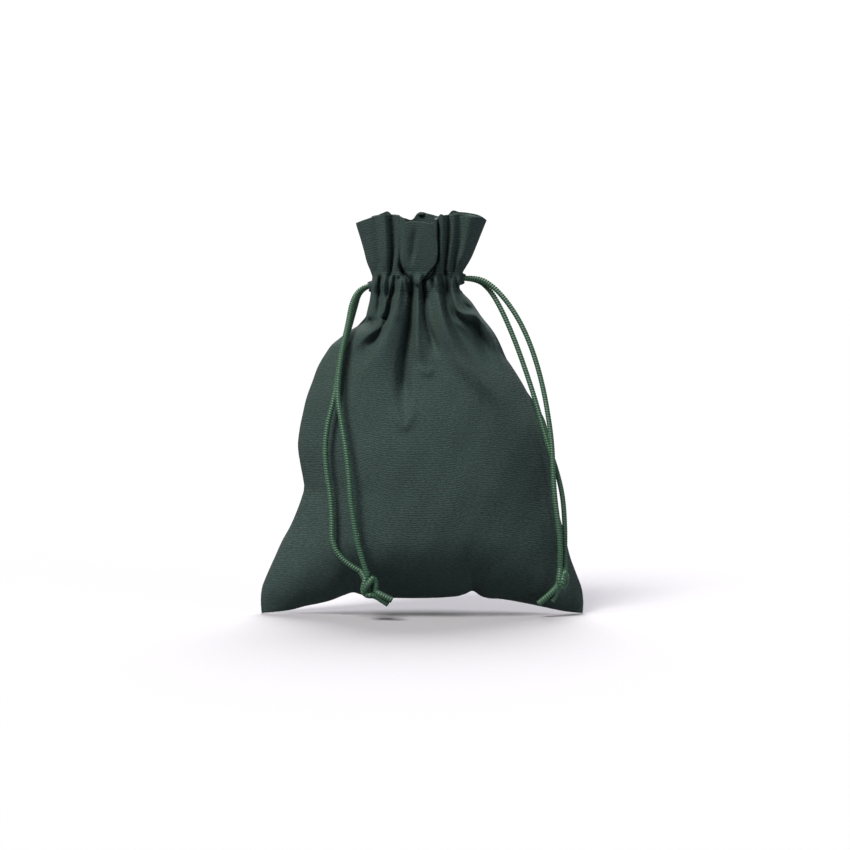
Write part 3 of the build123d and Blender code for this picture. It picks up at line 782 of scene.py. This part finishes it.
def exit_lip(name, base, way, height):
    """The rolled cloth lip round a cord exit: a short soft sleeve, wider in depth."""
    around = np.linspace(0.0, 2 * math.pi, 48, endpoint=False)
    # Across the roll: (how far out, half depth, half height).
    roll = [(-2.0, 2.9, 2.7), (-0.9, 2.8, 2.5), (0.1, 2.6, 2.2), (0.8, 2.4, 1.9),
            (1.15, 2.1, 1.6), (1.0, 1.85, 1.35), (0.3, 1.8, 1.3), (-0.8, 1.8, 1.3),
            (-2.0, 1.8, 1.3)]
    x, y, z = [], [], []
    for out, deep, tall in roll:
        point = 0.7 * np.maximum(np.sin(around), 0.0) ** 3
        x.append(base + way * (out + point + 0.12 * np.sin(3 * around + 1)))
        y.append(np.cos(around) * deep)
        z.append(height + np.sin(around) * tall)
    x, y, z = (np.array(part) for part in (x, y, z))
    verts = np.stack([x, y, z], axis=-1).reshape(-1, 3) * mm
    faces = []
    count = len(around)
    for row in range(len(roll) - 1):
        for column in range(count):
            corners = (row * count + column, row * count + (column + 1) % count,
                       (row + 1) * count + (column + 1) % count, (row + 1) * count + column)
            faces.append(corners if way > 0 else corners[::-1])
    lip = link_mesh(name, verts, faces, cotton)
    write_uv(lip, np.stack([np.tile(around * 2.6, len(roll)),
                            np.repeat(np.arange(len(roll)) * 0.8, count)], axis=-1))
    return lip


for side, base, way, height in (("left", -19.8, -1, 126.2), ("right", 14.6, 1, 129.2)):
    lip = exit_lip(f"{side}_exit_lip", base, way, height)
    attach(lip, "sack")
    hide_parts(f"{side}_slot_hem")


thread_material, thread_start, thread_shader = new_material("sewing_thread")
thread_place = thread_start.node("ShaderNodeTexCoord", None, None, output=3)
thread_tone = thread_place.noise(900.0, detail=2.0)
feed(thread_shader, "Base Color", thread_tone.mix((0.02, 0.045, 0.035, 1.0),
                                                   (0.05, 0.10, 0.08, 1.0)))
thread_shader.inputs["Roughness"].default_value = 0.6


stitch_step = 0.0026        # metres from one stitch to the next
stitch_length = 0.0014
stitch_width = 0.0003
stitch_seed = 3


def stitch_tree(name, material):
    """Node tree that lays one small stitch at every step along a curve."""
    tree = bpy.data.node_groups.new(name, "GeometryNodeTree")
    face = tree.interface
    face.new_socket("Geometry", in_out="INPUT", socket_type="NodeSocketGeometry")
    step = face.new_socket("Step", in_out="INPUT", socket_type="NodeSocketFloat")
    length = face.new_socket("Stitch Length", in_out="INPUT", socket_type="NodeSocketFloat")
    width = face.new_socket("Stitch Width", in_out="INPUT", socket_type="NodeSocketFloat")
    seed = face.new_socket("Seed", in_out="INPUT", socket_type="NodeSocketInt")
    face.new_socket("Geometry", in_out="OUTPUT", socket_type="NodeSocketGeometry")
    node = tree.nodes.new
    join = tree.links.new
    enter = node("NodeGroupInput")
    leave = node("NodeGroupOutput")
    spaced = node("GeometryNodeCurveToPoints")
    spaced.mode = "LENGTH"
    shape = node("GeometryNodeMeshUVSphere")
    shape.inputs["Segments"].default_value = 8
    shape.inputs["Rings"].default_value = 6
    shape.inputs["Radius"].default_value = 0.5
    size = node("ShaderNodeCombineXYZ")
    placed = node("GeometryNodeInstanceOnPoints")
    waver = node("FunctionNodeRandomValue")
    waver.data_type = "FLOAT_VECTOR"
    waver.inputs[0].default_value = (0.9, 0.9, 0.88)
    waver.inputs[1].default_value = (1.05, 1.05, 1.08)
    scaled = node("ShaderNodeVectorMath")
    scaled.operation = "MULTIPLY"
    real = node("GeometryNodeRealizeInstances")
    smooth = node("GeometryNodeSetShadeSmooth")
    dress = node("GeometryNodeSetMaterial")
    dress.inputs["Material"].default_value = material
    join(enter.outputs["Geometry"], spaced.inputs["Curve"])
    join(enter.outputs["Step"], spaced.inputs["Length"])
    join(enter.outputs["Stitch Width"], size.inputs["X"])
    join(enter.outputs["Stitch Width"], size.inputs["Y"])
    join(enter.outputs["Stitch Length"], size.inputs["Z"])
    join(enter.outputs["Seed"], waver.inputs["Seed"])
    join(spaced.outputs["Points"], placed.inputs["Points"])
    join(spaced.outputs["Rotation"], placed.inputs["Rotation"])
    join(shape.outputs["Mesh"], placed.inputs["Instance"])
    join(size.outputs["Vector"], scaled.inputs[0])
    join(waver.outputs[0], scaled.inputs[1])
    join(scaled.outputs["Vector"], placed.inputs["Scale"])
    join(placed.outputs["Instances"], real.inputs["Geometry"])
    join(real.outputs["Geometry"], smooth.inputs["Geometry"])
    join(smooth.outputs["Geometry"], dress.inputs["Geometry"])
    join(dress.outputs["Geometry"], leave.inputs["Geometry"])
    return tree, {step.identifier: stitch_step, length.identifier: stitch_length,
                  width.identifier: stitch_width, seed.identifier: stitch_seed}


def stitch_row(name, line, tree, values):
    """Stitches along a line, as a plain mesh piece."""
    data = bpy.data.curves.new(name, "CURVE")
    data.dimensions = "3D"
    spline = data.splines.new("POLY")
    spline.points.add(len(line) - 1)
    for point, place in zip(spline.points, line):
        point.co = (*place, 1.0)
    guide = bpy.data.objects.new(name + "_guide", data)
    bpy.context.scene.collection.objects.link(guide)
    nodes = guide.modifiers.new("stitches", "NODES")
    nodes.node_group = tree
    for key, value in values.items():
        nodes[key] = value
    bpy.context.view_layer.update()
    depsgraph = bpy.context.evaluated_depsgraph_get()
    mesh = bpy.data.meshes.new_from_object(guide.evaluated_get(depsgraph))
    bpy.data.objects.remove(guide)
    row = bpy.data.objects.new(name, mesh)
    bpy.context.scene.collection.objects.link(row)
    return row


tree, stitch_values = stitch_tree("stitches_along_a_line", thread_material)
for which, sign in (("front", -1), ("back", 1)):
    for row_name, height in (("lower", 124.1), ("upper", 131.8)):
        line = neck_surface_line(which, height)
        row = stitch_row(f"{which}_{row_name}_channel_stitches", line, tree, stitch_values)
        sign * neck_top_weight
        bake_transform(row)
        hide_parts(f"{which}_{row_name}_stitches")

# ---- Hidden pieces ----
# The side seams and their stitches inside the sack keep their own shapes.
for node_name, node_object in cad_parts.items():
    if node_object.hide_render:
        continue
    if "stitches" in node_name:
        finish = thread_material
    else:
        finish = cotton
    node_object.data.materials.clear()
    node_object.data.materials.append(finish)

# ---- Studio ----
# A pale floor, a white surround and soft lights overhead.
floor_size = 6.0
soft_surround = 0.085
floor_material, floor_start, floor_shader = new_material("pale_floor")
floor_seen = floor_start.node("ShaderNodeLightPath", None, None)
floor_in_bounces = (0.22, 0.22, 0.24, 1.0)
floor_in_view = (0.445, 0.438, 0.478, 1.0)
feed(floor_shader, "Base Color", floor_seen.mix(floor_in_bounces, floor_in_view))
floor_shader.inputs["Roughness"].default_value = 0.9
floor_shader.inputs["Specular IOR Level"].default_value = 0.1
floor = link_mesh("floor", [(-floor_size, -floor_size, 0), (floor_size, -floor_size, 0),
                            (floor_size, floor_size, 0), (-floor_size, floor_size, 0)],
                  [(0, 1, 2, 3)], floor_material)

# The surround shows plain white behind the sack, but lights it only softly.
world = bpy.data.worlds.new("surround")
world.use_nodes = True
surround = Signal(world.node_tree, None)
seen = surround.node("ShaderNodeLightPath", None, None)
world.node_tree.nodes["Background"].inputs["Color"].default_value = (1.0, 1.0, 1.0, 1.0)
strength = seen * (1.05 - soft_surround) + soft_surround
world.node_tree.links.new(strength.socket,
                          world.node_tree.nodes["Background"].inputs["Strength"])
bpy.context.scene.world = world


def sun_light(name, toward, power, spread, colour):
    """A distant light that shines from the direction given, with soft shadows."""
    data = bpy.data.lights.new(name, "SUN")
    data.energy = power
    data.angle = math.radians(spread)
    data.color = colour
    light = bpy.data.objects.new(name, data)
    light.rotation_euler = (-Vector(toward)).to_track_quat("-Z", "Y").to_euler()
    bpy.context.scene.collection.objects.link(light)


sun_light("back_light", (0.05, 0.80, 1.0), 4.6, 45, (1.0, 0.99, 0.97))
sun_light("high_left_light", (-0.42, -0.62, 0.90), 4.2, 24, (1.0, 0.975, 0.91))
sun_light("low_right_light", (0.75, -0.8, 0.25), 0.45, 30, (0.82, 0.94, 1.0))
